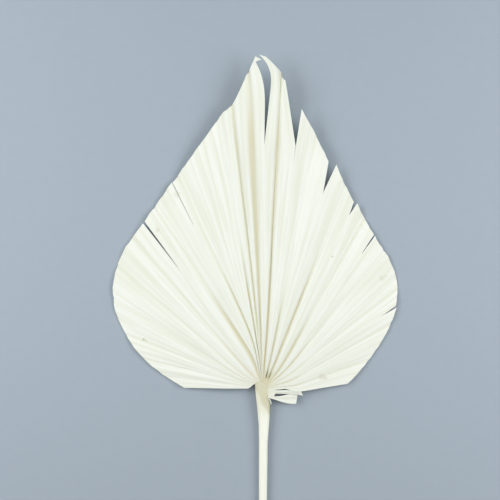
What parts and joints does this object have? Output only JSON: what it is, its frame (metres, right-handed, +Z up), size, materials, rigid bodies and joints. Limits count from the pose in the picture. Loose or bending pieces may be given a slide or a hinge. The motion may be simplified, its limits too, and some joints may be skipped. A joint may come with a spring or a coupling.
{
  "type": "dried palm leaf",
  "caption": "Dried bleached fan-palm leaf lying on its back: a pleated papery blade trimmed to a spade shape with split tips, on a slim cut stalk, for dried-flower displays.",
  "frame": {"origin": "bottom centre of the leaf's box, on the table it lies on", "axes": "+Y from the stalk's cut end towards the leaf's tip, +Z up from the table out of the leaf's front, +X to the right seen from the front"},
  "size_m": [0.2, 0.4386, 0.0198],
  "materials": {
    "blade": "dry, matt, bleached leaf with a fine grain along its folds",
    "stalk": "smooth dry leaf stalk, cream with a beige top"
  },
  "bodies": {
    "root": {"leaf_blade": "blade", "petiole": "stalk"}
  },
  "joints": []
}
